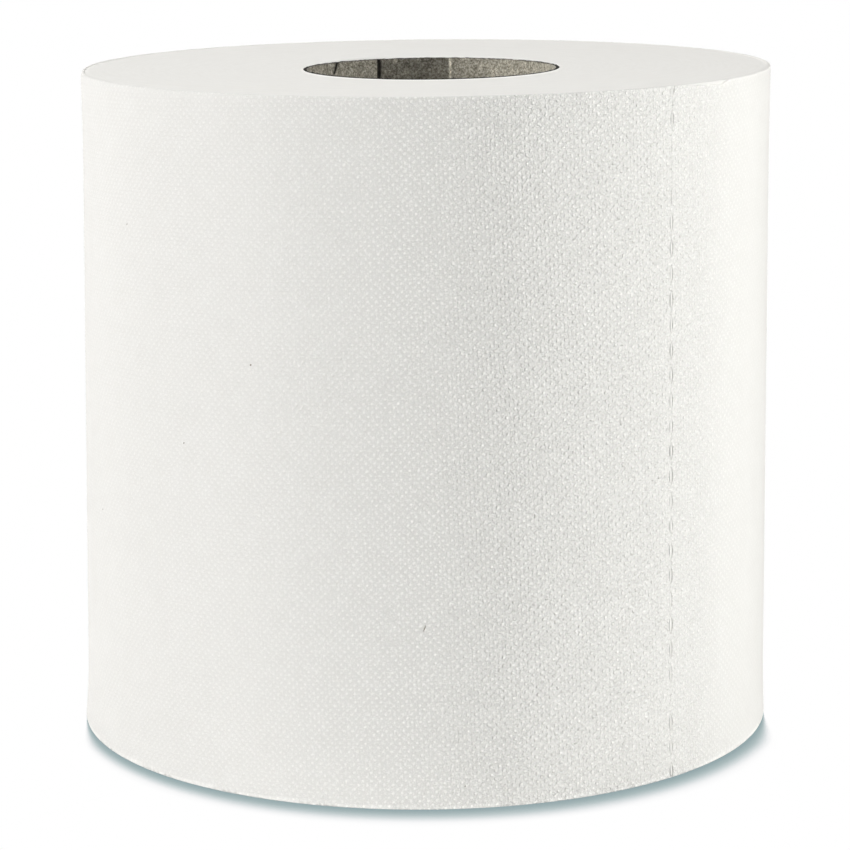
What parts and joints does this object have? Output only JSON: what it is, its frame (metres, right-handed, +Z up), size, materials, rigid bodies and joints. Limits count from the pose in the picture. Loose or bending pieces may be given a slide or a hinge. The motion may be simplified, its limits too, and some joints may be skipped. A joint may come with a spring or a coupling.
{
  "type": "center pull paper towel roll",
  "caption": "Wound roll of embossed, perforated paper towels on a paperboard core, standing on its end for a center pull dispenser.",
  "frame": {"origin": "centre of the roll's lower end, on the surface that it stands on", "axes": "+Z up along the roll's axis, the front is -Y, and the visible perforation line is 42 degrees round from the front towards +X"},
  "size_m": [0.204, 0.2042, 0.194],
  "materials": {
    "tissue": "white embossed two-ply tissue, matte",
    "paperboard": "grey-brown recycled chipboard, matte"
  },
  "bodies": {
    "root": {"towel_web": "tissue", "core_tube": "paperboard"}
  },
  "joints": []
}
